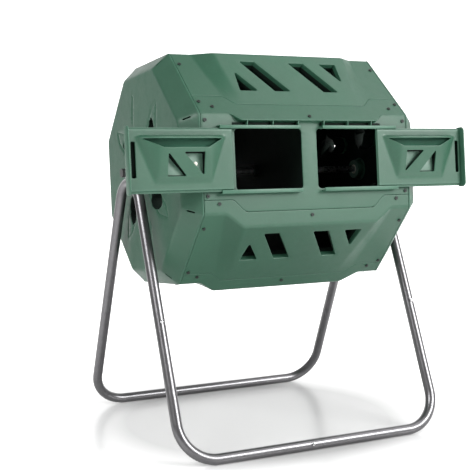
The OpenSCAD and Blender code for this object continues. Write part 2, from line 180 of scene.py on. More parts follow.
def plane_mesh(outer, holes, grid, clear=1.6):
    """Triangles over a plane outline (counter-clockwise) with holes (clockwise) and inner points."""
    g = np.array(grid, float)
    keep = inside(g, outer) & ~near(g, outer, clear)
    for h in holes:
        keep &= ~inside(g, h) & ~near(g, h, clear)
    g = g[keep]
    V, E, ids = [], [], []
    for lp in [outer] + holes:
        n = len(V)
        V.extend(Vector((float(p[0]), float(p[1]))) for p in lp)
        E.extend((n + i, n + (i + 1) % len(lp)) for i in range(len(lp)))
        ids.append(list(range(n, n + len(lp))))
    V.extend(Vector((float(p[0]), float(p[1]))) for p in g)
    verts, _, faces, orig, _, _ = delaunay_2d_cdt(V, E, [], 0, 1e-7)
    m = {}
    for i, src in enumerate(orig):
        for s in src:
            m.setdefault(s, i)
    p = np.array([(v[0], v[1]) for v in verts])
    f = np.array([tuple(t) for t in faces])
    c = p[f].mean(axis=1)
    ok = inside(c, outer)
    for h in holes:
        ok &= ~inside(c, h)
    f = f[ok]
    a, b, d = p[f[:, 0]], p[f[:, 1]], p[f[:, 2]]
    area = (b[:, 0] - a[:, 0]) * (d[:, 1] - a[:, 1]) - (b[:, 1] - a[:, 1]) * (d[:, 0] - a[:, 0])
    f[area < 0] = f[area < 0][:, ::-1]
    f = f[np.abs(area) > 1e-6]
    loops = [[m[i] for i in lp] for lp in ids]
    return p, f, loops


EDGE = [(0.3, 0.06), (0.62, 0.28), (0.8, 0.75), (0.8, 2.3)]


def shell(bld, p2, tris, loops, P, thick, rings, mat=0, inner=0, flip=False, painted_shade_from=2.9):
    """Closed wall: the mapped surface, its back, and rounded edges. rings holds, for each loop,
    the steps out over the edge and down through the wall."""
    top = np.array([P(float(x), float(w)) for x, w in p2])
    a, b, c = top[tris[:, 0]], top[tris[:, 1]], top[tris[:, 2]]
    fn = np.cross(b - a, c - a)
    nrm = np.zeros_like(top)
    for j in range(3):
        np.add.at(nrm, tris[:, j], fn)
    nrm /= np.maximum(np.linalg.norm(nrm, axis=1), 1e-12)[:, None]
    n = len(top)
    back = top - nrm * thick
    verts = [tuple(q) for q in top] + [tuple(q) for q in back]
    faces = [tuple(t) for t in tris]
    inner_faces = [(t[2] + n, t[1] + n, t[0] + n) for t in tris]
    deep = []
    for lp, rs in zip(loops, rings):
        k = len(lp)
        tan = np.array([top[lp[(i + 1) % k]] - top[lp[i - 1]] for i in range(k)])
        tan /= np.maximum(np.linalg.norm(tan, axis=1), 1e-12)[:, None]
        nn = nrm[lp]
        out = np.cross(tan, nn)
        out /= np.maximum(np.linalg.norm(out, axis=1), 1e-12)[:, None]
        prev = list(lp)
        for d, e in rs:
            ring = top[lp] + out * d - nn * e
            s = len(verts)
            verts.extend(tuple(q) for q in ring)
            cur = list(range(s, s + k))
            # edge faces deeper than painted_shade_from take the inner index, the near-black painted-shade material
            if e > painted_shade_from:
                deep.extend(range(len(faces), len(faces) + k))
            faces.extend((prev[i], cur[i], cur[(i + 1) % k], prev[(i + 1) % k]) for i in range(k))
            prev = cur
        cur = [i + n for i in lp]
        faces.extend((prev[i], cur[i], cur[(i + 1) % k], prev[(i + 1) % k]) for i in range(k))
    n0, f0 = len(bld.v), len(bld.f)
    bld.add(verts, faces, mat, flip)
    for i in deep:
        bld.m[f0 + i] = inner
    # the back shares the same points
    # the back takes the inner index too: painted shade for the inside of the wall
    for f in inner_faces:
        g = tuple(int(i) + n0 for i in f)
        bld.f.append(g[::-1] if flip else g)
        bld.m.append(inner)


def prism(bld, outline, a0, a1, P, bevel=0.7, mat=0, flip=False):
    """Closed bar of an outline (counter-clockwise), its end edges rounded. P(u, w, a) places it."""
    n = len(outline)
    o = np.array(outline, float)
    tan = np.roll(o, -1, axis=0) - np.roll(o, 1, axis=0)
    tan /= np.maximum(np.linalg.norm(tan, axis=1), 1e-9)[:, None]
    nn = np.stack([tan[:, 1], -tan[:, 0]], axis=1)
    b = bevel
    steps = [(b, a0), (0.3 * b, a0 + 0.3 * b), (0, a0 + b), (0, a1 - b), (0.3 * b, a1 - 0.3 * b), (b, a1)]
    verts, faces = [], []
    for ins, a in steps:
        verts.extend(P(q[0], q[1], a) for q in (o - nn * ins))
    for s in range(len(steps) - 1):
        for i in range(n):
            j = (i + 1) % n
            faces.append((s * n + i, s * n + j, (s + 1) * n + j, (s + 1) * n + i))
    faces.append(tuple(range(n))[::-1])
    faces.append(tuple(range((len(steps) - 1) * n, len(steps) * n)))
    bld.add(verts, faces, mat, flip)


def rect(x0, x1, y0, y1, r=0.8, seg=3):
    return rounded([(x0, y0), (x1, y0), (x1, y1), (x0, y1)], r, seg)


def lathe(bld, prof, P, n=64, mat=0, flip=False):
    """Turned ring: prof is a closed (r, a) outline."""
    m = len(prof)
    verts = [P(r * math.cos(2 * math.pi * i / n), r * math.sin(2 * math.pi * i / n), a) for i in range(n) for r, a in prof]
    faces = []
    for i in range(n):
        for j in range(m):
            j2 = (j + 1) % m
            i2 = (i + 1) % n
            faces.append((i * m + j, i2 * m + j, i2 * m + j2, i * m + j2))
    bld.add(verts, faces, mat, flip)


# ------------------------------------------------------------------ materials
def srgb(c):
    return tuple((v / 255 / 12.92) if v <= 10.3 else ((v / 255 + 0.055) / 1.055) ** 2.4 for v in c)


def nodes_of(name):
    m = bpy.data.materials.new(name)
    m.use_nodes = True
    nt = m.node_tree
    nt.nodes.clear()
    out = nt.nodes.new("ShaderNodeOutputMaterial")
    bsdf = nt.nodes.new("ShaderNodeBsdfPrincipled")
    nt.links.new(bsdf.outputs[0], out.inputs[0])
    return m, nt, bsdf


def add(nt, kind, **kw):
    n = nt.nodes.new(kind)
    for k, v in kw.items():
        if k.startswith("i_"):
            key = k[2:]
            n.inputs[int(key) if key.isdigit() else key.replace("_", " ")].default_value = v
        else:
            setattr(n, k, v)
    return n


def ramp_node(nt, src, stops):
    r = nt.nodes.new("ShaderNodeValToRGB")
    e = r.color_ramp.elements
    e[0].position, e[0].color = stops[0][0], (*stops[0][1], 1)
    e[1].position, e[1].color = stops[-1][0], (*stops[-1][1], 1)
    for p, c in stops[1:-1]:
        n = e.new(p)
        n.color = (*c, 1)
    nt.links.new(src, r.inputs[0])
    return r.outputs[0]


def mix(nt, a, b, fac, blend="MIX"):
    n = nt.nodes.new("ShaderNodeMix")
    n.data_type, n.blend_type = "RGBA", blend
    for sock, val in ((n.inputs[6], a), (n.inputs[7], b), (n.inputs[0], fac)):
        if isinstance(val, bpy.types.NodeSocket):
            nt.links.new(val, sock)
        elif isinstance(val, (tuple, list)):
            sock.default_value = (*val[:3], 1)
        else:
            sock.default_value = val
    return n.outputs[2]


def maprange(nt, src, a, b, c, d):
    n = nt.nodes.new("ShaderNodeMapRange")
    nt.links.new(src, n.inputs[0])
    for i, v in enumerate((a, b, c, d)):
        n.inputs[i + 1].default_value = v
    return n.outputs[0]


def moulded_plastic(name, base, light, rough=0.5, grain=1.0, spec=0.5):
    """Injection-moulded polypropylene: pebbled grain, faint flow clouds, paler convex edges that are partly rubbed wear
    and partly a painted edge highlight.
    """
    m, nt, b = nodes_of(name)
    tc = add(nt, "ShaderNodeTexCoord")
    obj = tc.outputs["Object"]
    fine = add(nt, "ShaderNodeTexNoise", i_Scale=1500.0, i_Detail=2.0, i_Roughness=0.55)
    peb = add(nt, "ShaderNodeTexVoronoi", i_Scale=620.0)
    cloud = add(nt, "ShaderNodeTexNoise", i_Scale=5.5, i_Detail=5.0, i_Roughness=0.6)
    speck = add(nt, "ShaderNodeTexNoise", i_Scale=170.0, i_Detail=3.0)
    scuff = add(nt, "ShaderNodeTexNoise", i_Scale=38.0, i_Detail=6.0, i_Roughness=0.7)
    for n in (fine, peb, cloud, speck, scuff):
        nt.links.new(obj, n.inputs["Vector"])
    geo = add(nt, "ShaderNodeNewGeometry")
    col = mix(nt, tuple(v * 0.93 for v in base), tuple(v * 1.07 for v in base), maprange(nt, cloud.outputs["Fac"], 0.35, 0.65, 0, 1))
    col = mix(nt, col, tuple(v * 1.16 for v in base), maprange(nt, speck.outputs["Fac"], 0.52, 0.72, 0, 0.55))
    # pointiness mask for paler convex edges: part rubbed wear, part painted edge highlight
    wear_and_highlight = add(nt, "ShaderNodeMath", operation="MULTIPLY")
    nt.links.new(maprange(nt, geo.outputs["Pointiness"], 0.515, 0.60, 0, 0.75), wear_and_highlight.inputs[0])
    nt.links.new(maprange(nt, scuff.outputs["Fac"], 0.3, 0.6, 0.35, 1), wear_and_highlight.inputs[1])
    col = mix(nt, col, light, wear_and_highlight.outputs[0])
    nt.links.new(col, b.inputs["Base Color"])
    r1 = maprange(nt, cloud.outputs["Fac"], 0.3, 0.7, rough - 0.05, rough + 0.05)
    r2 = add(nt, "ShaderNodeMath", operation="ADD")
    nt.links.new(r1, r2.inputs[0])
    nt.links.new(maprange(nt, scuff.outputs["Fac"], 0.45, 0.75, -0.02, 0.06), r2.inputs[1])
    nt.links.new(r2.outputs[0], b.inputs["Roughness"])
    hgt = add(nt, "ShaderNodeMath", operation="ADD")
    nt.links.new(fine.outputs["Fac"], hgt.inputs[0])
    nt.links.new(peb.outputs["Distance"], hgt.inputs[1])
    bump = add(nt, "ShaderNodeBump", i_Strength=0.16 * grain, i_Distance=0.0004)
    nt.links.new(hgt.outputs[0], bump.inputs["Height"])
    wav = add(nt, "ShaderNodeBump", i_Strength=0.10, i_Distance=0.004)
    nt.links.new(cloud.outputs["Fac"], wav.inputs["Height"])
    nt.links.new(bump.outputs[0], wav.inputs["Normal"])
    nt.links.new(wav.outputs[0], b.inputs["Normal"])
    b.inputs["Specular IOR Level"].default_value = spec
    return m


def tube_steel(name, dark, lightc, rough=0.3, metallic=0.9, streak=1.0):
    """Bent steel tube under a thin grey coat: fine hammered mottling, rub marks and scratches."""
    m, nt, b = nodes_of(name)
    tc = add(nt, "ShaderNodeTexCoord")
    ham = add(nt, "ShaderNodeTexVoronoi", i_Scale=310.0)
    mot = add(nt, "ShaderNodeTexNoise", i_Scale=95.0, i_Detail=5.0, i_Roughness=0.65)
    big = add(nt, "ShaderNodeTexNoise", i_Scale=9.0, i_Detail=3.0)
    mp = add(nt, "ShaderNodeMapping")
    mp.inputs["Scale"].default_value = (260, 260, 9)
    scr = add(nt, "ShaderNodeTexNoise", i_Scale=1.0, i_Detail=4.0, i_Roughness=0.7)
    for n in (ham, mot, big, mp):
        nt.links.new(tc.outputs["Object"], n.inputs["Vector"])
    nt.links.new(mp.outputs[0], scr.inputs["Vector"])
    col = mix(nt, dark, lightc, maprange(nt, mot.outputs["Fac"], 0.35, 0.65, 0, 1))
    col = mix(nt, col, tuple(v * 1.35 for v in lightc), maprange(nt, ham.outputs["Distance"], 0.0, 0.5, 0.35 * streak, 0))
    col = mix(nt, col, tuple(v * 0.55 for v in dark), maprange(nt, scr.outputs["Fac"], 0.60, 0.74, 0, 0.5 * streak))
    nt.links.new(col, b.inputs["Base Color"])
    b.inputs["Metallic"].default_value = metallic
    r = add(nt, "ShaderNodeMath", operation="ADD")
    nt.links.new(maprange(nt, mot.outputs["Fac"], 0.3, 0.7, rough - 0.05 * streak, rough + 0.05 * streak), r.inputs[0])
    nt.links.new(maprange(nt, big.outputs["Fac"], 0.35, 0.65, -0.03 * streak, 0.04 * streak), r.inputs[1])
    nt.links.new(r.outputs[0], b.inputs["Roughness"])
    bump = add(nt, "ShaderNodeBump", i_Strength=0.14 * streak, i_Distance=0.0004)
    nt.links.new(ham.outputs["Distance"], bump.inputs["Height"])
    nt.links.new(bump.outputs[0], b.inputs["Normal"])
    return m


GREEN = (0.0172, 0.0665, 0.0385)
# pale colour for convex edges: part wear, part painted edge highlight
PALE_WEAR_AND_HIGHLIGHT = (0.07, 0.165, 0.115)
mat_green = moulded_plastic("green_moulded", GREEN, PALE_WEAR_AND_HIGHLIGHT, 0.46, 1.0, 0.42)
# near-black copy of the green plastic: painted shade for the backs, deep vent walls, seams and hollows
mat_painted_shade = moulded_plastic("green_moulded_painted_shade", (0.0035, 0.0085, 0.006), (0.006, 0.013, 0.0095), 0.72, 1.0, 0.15)
# paler copy of the green plastic: painted light on the vanes behind the vents
mat_vane_painted_light = moulded_plastic("green_moulded_vane_painted_light", (0.060, 0.125, 0.090), (0.12, 0.22, 0.16), 0.5)
# duller copy of the green plastic with less sheen and darker edges: painted shade for the pocket inside the hood
mat_shade = moulded_plastic("green_moulded_hood_back_painted_shade", (0.016, 0.075, 0.042), (0.03, 0.11, 0.07), 0.6, 1.0, 0.2)
mat_steel = tube_steel("stand_tube_coat", (0.125, 0.123, 0.128), (0.145, 0.143, 0.148), 0.31, 0.85, 0.30)
mat_zinc = tube_steel("zinc_plate", (0.40, 0.40, 0.41), (0.58, 0.58, 0.59), 0.28, 1.0, 0.5)
mat_screw = tube_steel("screw_black_zinc", (0.006, 0.010, 0.008), (0.014, 0.020, 0.017), 0.62, 0.15, 0.5)
mat_black = moulded_plastic("black_plug", (0.012, 0.012, 0.012), (0.05, 0.05, 0.05), 0.5)
mat_nylon = moulded_plastic("natural_nylon", (0.55, 0.53, 0.46), (0.66, 0.64, 0.58), 0.36, 0.4)

# ------------------------------------------------------------------ drum panels
XS_FINE = list(np.arange(146, 232, 3.2))


def x_rows():
    mid = list(np.linspace(-140, 140, 21))
    ends = [238, 246, 254, 262, 268]
    return sorted([-x for x in XS_FINE] + XS_FINE + mid + ends + [-x for x in ends])


def above(v1, o1=0.0):
    return (C45 * (-v1 - HS) + C45 * o1, HS - C45 * (-v1 - HS) + C45 * o1)


def edge_low(x, ve, vm):
    return lerp(ve, vm, S((205 - abs(x)) / 40))


def plateau(x, v):
    xf, xp = lerp(190, 222, (v + 80) / 190), lerp(150, 177, (v + 100) / 190)
    return rclamp((xf - abs(x)) / (xf - xp))


def corner_path(raws, lens, s, R):
    """Point at a signed arc place around a corner; raws are functions giving the point at a distance before and after it."""
    t = 0.5 + 0.5 * s / R
    p0, p1, p2 = raws(-R), raws(0.0), raws(R)
    return tuple((1 - t) ** 2 * a + 2 * t * (1 - t) * b + t * t * c for a, b, c in zip(p0, p1, p2))


class PanelShape:
    """Cross-section of a bent panel at each place along the drum: flange on the face above, ridge, raised skin."""

    def __init__(self, ve, vm):
        self.ve, self.vm = ve, vm
        self.wB, self.wC, self.Lf = VT, vm + SEAM, 36.0
        self.wA = self.wB + self.Lf
        self.R = 5.5

    def at(self, x, w):
        amp = plateau(x, 95.0)
        d = REACH * amp
        oB, vB = above(-HS - d)
        lo = edge_low(x, self.ve, self.vm) + SEAM
        oA, vA = above(edge_low(x, -80, -108) - SEAM)
        span_up = math.hypot(oB - oA, vB - vA)
        span_dn = vB - lo
        nom_dn = self.wB - self.wC

        def raw(s):  # s < 0 on the flange, > 0 on the skin
            if s <= 0:
                f = -s / span_up
                return (lerp(oB, oA, f), lerp(vB, vA, f))
            v = vB - s
            vs = v + (95.0 - vB) * (v + 108) / (vB + 108)
            k = max(0.0, (v - self.vm) / (vB - self.vm))
            return (C45 * REACH * plateau(x, vs) * k, v)
        s = -(w - self.wB) / self.Lf * span_up if w > self.wB else (self.wB - w) / nom_dn * span_dn
        R = self.R
        if abs(s) < R:
            o, v = corner_path(raw, None, s, R)
        else:
            o, v = raw(s)
        return (x, -AP - o, v)


VENT_A = [(-147, -34), (-97, -34), (-142, 33)]
VENT_B = [(-119, 64), (-56, -34), (-11, -34), (-76, 64)]


def turned(p):
    return [(-q[0], 30 - q[1]) for q in p]


VENTS = [VENT_A, VENT_B, turned(VENT_B), turned(VENT_A)]
DUCT = [(0.35, 0.07), (0.8, 0.33), (1.15, 0.9), (1.3, 2.6), (1.55, 12.0), (1.9, 24.0), (1.6, 24.5), (0.5, 24.5), (0.15, 24.0), (0.1, 12.0)]


def grid_points(xs, ws):
    return [(x, w) for x in xs for w in ws]


def rect_loop(xs, w0, w1, ws):
    """Counter-clockwise rectangle whose sides carry the grid's own lines."""
    x0, x1 = xs[0], xs[-1]
    lp = [(x, w0) for x in xs]
    lp += [(x1, w) for w in ws if w0 < w < w1]
    lp += [(x, w1) for x in xs[::-1]]
    lp += [(x0, w) for w in ws[::-1] if w0 < w < w1]
    return lp


def seam_strip(b, ve, vm):
    """Tongue behind the line where the next panel begins."""
    lo, hi = max(-111.0, vm - 20.0), ve + 14.0
    # material index 1 is the near-black painted-shade material: painted shade in the seam gap
    prism(b, rounded([(-5.6, lo), (-4.0, lo), (-4.0, hi), (-5.6, hi)], 0.5, 2), -262, 262, lambda u, w, a: (a, -AP + u * -1.0, w), 0.4, mat=1, flip=True)


def raised_panel(node, k, ve=-80, vm=-108):
    sh = PanelShape(ve, vm)
    xe = HL - 0.5 - 0.9
    xs = [-xe] + x_rows() + [xe]
    ws = [sh.wC + d for d in (3, 8)] + list(np.arange(sh.wC + 14, sh.wB - 12, 6.5)) + [sh.wB + d for d in (-9, -6, -4.4, -2.9, -1.4, 0, 1.4, 2.9, 4.4, 6, 9, 14, 20, 26, 31, 34)]
    outer = rect_loop(xs, sh.wC, sh.wA, sorted(ws))
    holes = [split_long(rounded(p, 4.0, 5, ccw=False), 9.0) for p in VENTS]
    p2, tr, loops = plane_mesh(outer, holes, grid_points(xs, ws))
    b = Build()
    # vent duct walls deeper than 13 mm and the panel's back take the near-black painted-shade material
    shell(b, p2, tr, loops, sh.at, T, [EDGE] + [DUCT] * 4, 0, 1, painted_shade_from=13.0)
    seam_strip(b, ve, vm)
    o = b.make("skin_" + node, in_drum(k), [mat_green, mat_painted_shade])
    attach(o, "drum")
    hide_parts(node)
    return o


class FrontShape:
    """Door panel: flange on the face above, overhanging lip, and the flat front."""

    def __init__(self):
        self.knots = [-108 + SEAM, -62.0, 80.0, 92.0, 108.5, 166.5]  # D, E, F, C, B, A

    def pts(self, x):
        s = S((205 - abs(x)) / 30)
        lo = edge_low(x, -80, -108) + SEAM
        B = above(-HS - LIP * s)
        B = (B[0] + 0.2, B[1])
        A = above(edge_low(x, -48, -77) - SEAM)
        return [(0, lo), (0, -62.0), (0, 80.0), (0, lerp(HS - 0.6, 92.0, s)), B, A]

    def at(self, x, w):
        pt = self.pts(x)
        K = self.knots
        i = 0
        while i < 4 and w > K[i + 1]:
            i += 1
        seg = [math.dist(pt[j], pt[j + 1]) for j in range(5)]
        f = (w - K[i]) / (K[i + 1] - K[i])
        # rounding at the lip's root and its outer edge
        for c, R in ((3, 2.2), (4, 3.2)):
            R = min(R, 0.45 * seg[c - 1], 0.45 * seg[c])
            if R < 0.05:
                continue
            if i == c - 1 and (1 - f) * seg[i] < R:
                s = -(1 - f) * seg[i]
            elif i == c and f * seg[i] < R:
                s = f * seg[i]
            else:
                continue

            def raw(s, c=c):
                a, b = (pt[c - 1], seg[c - 1]) if s < 0 else (pt[c + 1], seg[c])
                g = abs(s) / b
                return (lerp(pt[c][0], a[0], g), lerp(pt[c][1], a[1], g))
            o, v = corner_path(raw, None, s, R)
            return (x, -AP - o, v)
        o, v = lerp(pt[i][0], pt[i + 1][0], f), lerp(pt[i][1], pt[i + 1][1], f)
        return (x, -AP - o, v)


def front_panel():
    sh = FrontShape()
    xe = HL - 0.5 - 0.9
    xs = [-xe] + sorted(list(np.arange(-208, -169, 3.0)) + list(np.arange(172, 211, 3.0)) + list(np.linspace(-162, 162, 19)) + [s * v for s in (-1, 1) for v in (218, 230, 242, 254, 264)]) + [xe]
    ws = [-103, -98, -90, -80, -70, -62, -54, -40, -20, 0, 20, 40, 60, 72, 80, 86, 89.4, 90.4, 91.3, 92, 92.8, 93.6, 94.6, 97, 100, 103, 105, 106.2, 107.4, 108.5, 109.6, 110.8, 112.4, 116, 124, 134, 144, 154, 162]
    outer = rect_loop(xs, sh.knots[0], sh.knots[-1], ws)
    wins = [rounded([(a, -60.5), (b, -60.5), (b, 79), (a, 79)], 9.5, 8, ccw=False) for a, b in ((-192, -19), (19, 192))]
    wins = [split_long(w, 14.0) for w in wins]
    p2, tr, loops = plane_mesh(outer, wins, grid_points(xs, ws), 0.6)
    b = Build()
    win_edge = [(0.3, 0.07), (0.7, 0.35), (0.95, 0.95), (0.95, 2.4)]
    shell(b, p2, tr, loops, sh.at, T, [EDGE] + [win_edge] * 2, 0, 1)

    def bar(u, w, a):   # outline in (outward, up), run along x
        return (a, -AP - u, w)
    for sx in (-1, 1):
        x0, x1 = (29, 233) if sx > 0 else (-233, -29)
        top = rounded([(-1, 81.5), (12.4, 81.5), (12.4, 77), (15.5, 77), (15.5, 84.5), (-1, 84.5)], 0.9, 3)
        low = rounded([(-1, -67), (15.5, -67), (15.5, -58.5), (12.4, -58.5), (12.4, -64), (-1, -64)], 0.9, 3)
        for q in (top, low):
            prism(b, q, x0, x1, bar, 0.8, flip=True)
        for i in range(3):
            c = sx * (34 + 65 * i)
            prism(b, rounded([(-0.5, 84.2), (12.6, 84.2), (14.8, 94.6), (-0.5, 92.6)], 0.6, 2), c - 0.9, c + 0.9, bar, 0.3, flip=True)
        # shade under the lip
        prism(b, rounded([(0.1, 84.8), (0.9, 84.8), (0.9, 91.6), (0.1, 91.6)], 0.2, 2), max(x0, -196), min(x1, 196), bar, 0.2, mat=1, flip=True)
    seam_strip(b, -80, -108)
    o = b.make("front_door_panel", in_drum(0), [mat_green, mat_painted_shade])
    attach(o, "drum")
    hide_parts("door_panel")
    return o


# ------------------------------------------------------------------ dished ends
PETAL = [(149, -3), (145, 12), (134, 26), (114, 38), (94, 41), (80, 33), (76, 18), (86, 2), (109, -12), (132, -13)]
CREASES = [[(189, 35), (167, 30), (109, 24)], [(190, 36), (145, 45), (73, 49)], [(191, 78), (133, 69)]]
OCT = [(math.cos(math.radians(45 * i)), math.sin(math.radians(45 * i))) for i in range(8)]


def polar(r, a):
    return (r * math.cos(math.radians(a)), r * math.sin(math.radians(a)))


def dish_height(y, z):
    ds = [y * c + z * s for c, s in OCT]
    m = max(ds)
    rho = m + 2.2 * math.log(sum(math.exp((d - m) / 2.2) for d in ds))
    t = (AP - rho) / 34.0
    return 3.0 + 37.0 * rclamp(t, 0.10)


def crease_lines():
    out = []
    for n in range(4):
        for c in CREASES:
            out.append([polar(r, a + 90 * n) for r, a in c])
    return out


CR = crease_lines()
CR_SEG = [(np.array(c[i]), np.array(c[i + 1])) for c in CR for i in range(len(c) - 1)]


def crease_depth(y, z):
    p = np.array((y, z))
    best = 99.0
    for a, b in CR_SEG:
        ab = b - a
        t = max(0.0, min(1.0, float((p - a) @ ab) / float(ab @ ab)))
        best = min(best, float(np.linalg.norm(p - a - t * ab)))
    return best


def end_cover(side):
    R0 = AP - 0.6
    oct_pts = [polar(R0 / math.cos(math.radians(22.5)), 22.5 + 45 * i) for i in range(8)]
    outer = split_long(rounded(oct_pts, 2.5, 3), 9.0)
    petals = []
    for n in range(4):
        a = math.radians(32 + 90 * n)
        q = [(p[0] * math.cos(a) - p[1] * math.sin(a), p[0] * math.sin(a) + p[1] * math.cos(a)) for p in PETAL]
        petals.append(split_long(rounded(q, 12.0, 4, ccw=False), 7.0))
    g = []
    # rings that follow the octagon carry the frustum's two bends
    for ap in [266, 263, 259, 254, 249, 244, 240, 237.5, 235, 232.5, 230, 226, 220, 212, 203, 193, 182, 170, 157, 143, 128, 112, 96, 80, 64, 50, 38]:
        c = [polar(ap / math.cos(math.radians(22.5)), 22.5 + 45 * i) for i in range(8)]
        for i in range(8):
            p, q = c[i], c[(i + 1) % 8]
            L = math.dist(p, q)
            m = max(4, int(L / 9))
            for j in range(m):
                f = j / m
                g.append((lerp(p[0], q[0], f), lerp(p[1], q[1], f)))
            for d in (2.2, 4.5, 7.5):
                if L > 40:
                    g.append((lerp(p[0], q[0], d / L), lerp(p[1], q[1], d / L)))
                    g.append((lerp(p[0], q[0], 1 - d / L), lerp(p[1], q[1], 1 - d / L)))
    for c in CR:
        for i in range(len(c) - 1):
            a, b = np.array(c[i]), np.array(c[i + 1])
            L = np.linalg.norm(b - a)
            u = (b - a) / L
            nn = np.array((-u[1], u[0]))
            for s in np.arange(0, L, 4.0):
                for d in (-3.0, -1.3, 0, 1.3, 3.0):
                    g.append(tuple(a + u * s + nn * d))
    # (a, b) = (z, y) so that the outside of the left end looks along -x
    swap = lambda lp: [(q[1], q[0]) for q in lp][::-1]
    slots = []
    for i in range(8):
        a = math.radians(22.5 + 45 * i)
        q = rounded([(261, -2.5), (276, -2.5), (276, 2.5), (261, 2.5)], 1.8, 3, ccw=False)
        slots.append([(p[0] * math.cos(a) - p[1] * math.sin(a), p[0] * math.sin(a) + p[1] * math.cos(a)) for p in q])
    hub = [(30 * math.cos(t), 30 * math.sin(t)) for t in np.linspace(0, 2 * math.pi, 40, endpoint=False)][::-1]
    pts = np.array([(q[1], q[0]) for q in g])
    pts = pts[np.linalg.norm(pts, axis=1) > 31.5]
    # thin out points that crowd each other
    keep, cell = [], {}
    for q in pts[::-1]:
        key = (round(q[0] / 1.2), round(q[1] / 1.2))
        if key not in cell:
            cell[key] = 1
            keep.append(q)
    p2, tr, loops = plane_mesh(swap(outer), [swap(h) for h in petals] + [swap(h) for h in slots] + [hub], keep, 1.2)
    cache = {}

    def P(a, b):
        z, y = a, b
        h = dish_height(y, z)
        d = crease_depth(y, z)
        if d < 3.0:
            h -= 1.5 * (1 - S(d / 3.0))
        return (-(HL + h), y, z)
    b = Build()
    rim = [(0.5, 0.6), (0.55, 2.4), (-2.9, 2.5), (-2.9, 27.0), (-6.0, 27.0), (-6.0, 4.5)]
    lip = [(0.4, 0.08), (1.1, 0.5), (1.6, 1.4), (1.8, 3.4), (1.9, 14.0), (2.2, 45.0), (1.2, 45.5), (0.4, 45.0), (0.2, 12.0)]
    slit = [(0.25, 0.08), (0.6, 0.5), (0.7, 1.6), (0.9, 3.4), (2.25, 6.5), (1.4, 7.5), (0.2, 5.0)]
    hubr = [(2.0, -0.5), (5.0, -3.4), (6.2, -6.2), (7.2, -7.0), (17.9, -7.0), (17.9, 12.0), (4.0, 12.0)]
    # the rim turns down along x and the hub rises, so their rings are set in place directly
    verts_before = len(b.v)
    # vent and slit walls deeper than 2.9 mm and the cover's back take the near-black painted-shade material
    shell(b, p2, tr, loops, P, 3.0, [[]] + [lip] * 4 + [slit] * 8 + [[]], 0, 1)
    base = verts_before
    lo, hi = loops[0], loops[-1]

    def strip(lp, rings, last):
        k = len(lp)
        prev = [base + i for i in lp]
        for ring in rings:
            s = len(b.v)
            b.v.extend(ring)
            cur = list(range(s, s + k))
            for i in range(k):
                b.f.append((prev[i], cur[i], cur[(i + 1) % k], prev[(i + 1) % k]))
                b.m.append(0)
            prev = cur
        for i in range(k):
            b.f.append((prev[i], last[i], last[(i + 1) % k], prev[(i + 1) % k]))
            b.m.append(0)
    n = len(p2)

    def drop_rim(lp):
        dead = set()
        a = [base + i for i in lp]
        c = [base + n + i for i in lp]
        for i in range(len(lp)):
            dead.add((a[i], c[i], c[(i + 1) % len(lp)], a[(i + 1) % len(lp)]))
        keep_f = [(f, m) for f, m in zip(b.f, b.m) if f not in dead]
        b.f, b.m = [f for f, _ in keep_f], [m for _, m in keep_f]
    drop_rim(lo)
    drop_rim(hi)
    rim_rings = []
    for apo, x in ((AP, HL + 2.4), (AP, HL + 0.7), (AP - 3.4, HL + 0.5), (AP - 3.4, HL - 25.4), (AP - 4.0, HL - 26.0), (AP - 6.0, HL - 26.0), (AP - 6.4, HL - 2.0)):
        f = apo / (AP - 0.6)
        rim_rings.append([(-x, b.v[base + i][1] * f, b.v[base + i][2] * f) for i in lo])
    strip(lo, rim_rings, [base + n + i for i in lo])
    hub_rings = []
    for r, x in ((28.6, 312.5), (26.4, 314.0), (25.2, 316.5), (24.3, 318.4), (23.2, 319.0), (12.9, 319.0), (12.1, 318.3), (12.1, 291.0), (24.0, 291.0), (26.0, 306.0)):
        f = r / 30.0
        hub_rings.append([(-x, b.v[base + i][1] * f, b.v[base + i][2] * f) for i in hi])
    strip(hi, hub_rings, [base + n + i for i in hi])
    name = "end_panel_left" if side < 0 else "end_panel_right"
    o = b.make("cover_" + name, in_drum(0), [mat_green, mat_painted_shade], mirror=side > 0, angle=38)
    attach(o, "drum")
    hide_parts(name)
    return o


# ------------------------------------------------------------------ sliding doors
LEFT_OPEN, RIGHT_OPEN = 202.5, 176.0


def smin(vals, k):
    m = min(vals)
    return m - k * math.log(sum(math.exp(-(v - m) / k) for v in vals))


def rise(t):
    """Flank of the scoop: steep where it leaves the face, easing towards the front."""
    if t < 0:
        return 31.0 * t
    t = min(t, 1.25)
    return 31.0 * t - 12.4 * t * t


def hood_height(u, v):
    """Height of the scoop over the door's face."""
    tl = (56 - v) / 93.0
    left = rise((u - lerp(20, 54, tl)) / 39.0)
    right = rise((lerp(226, 186, tl) - u) / 46.0)
    bottom = 0.62 * (v + 38)
    front = 5.0 + 14.0 * (v + 31) / 64.0
    if min(left, right, bottom) < -8 or v > 60:
        return 0.0
    h = smin([left, right, bottom, front], 1.1)
    # soft foot where the scoop leaves the face
    return 0.5 * (h + math.sqrt(h * h + 1.4)) - (0.12 if h < -2 else 0.0)


def door_face(u, v):
    step = rclamp((u - 1.6) / 1.2, 0.2) * rclamp((v + 57.9) / 1.2, 0.2) * rclamp((76.4 - v) / 1.2, 0.2)
    return 12.0 + 3.0 * step + max(0.0, hood_height(u, v))


VANES = ([(74, 25.5), (127, 25.5), (74, -28)], [(161, 27), (161, -28), (114, -28)])


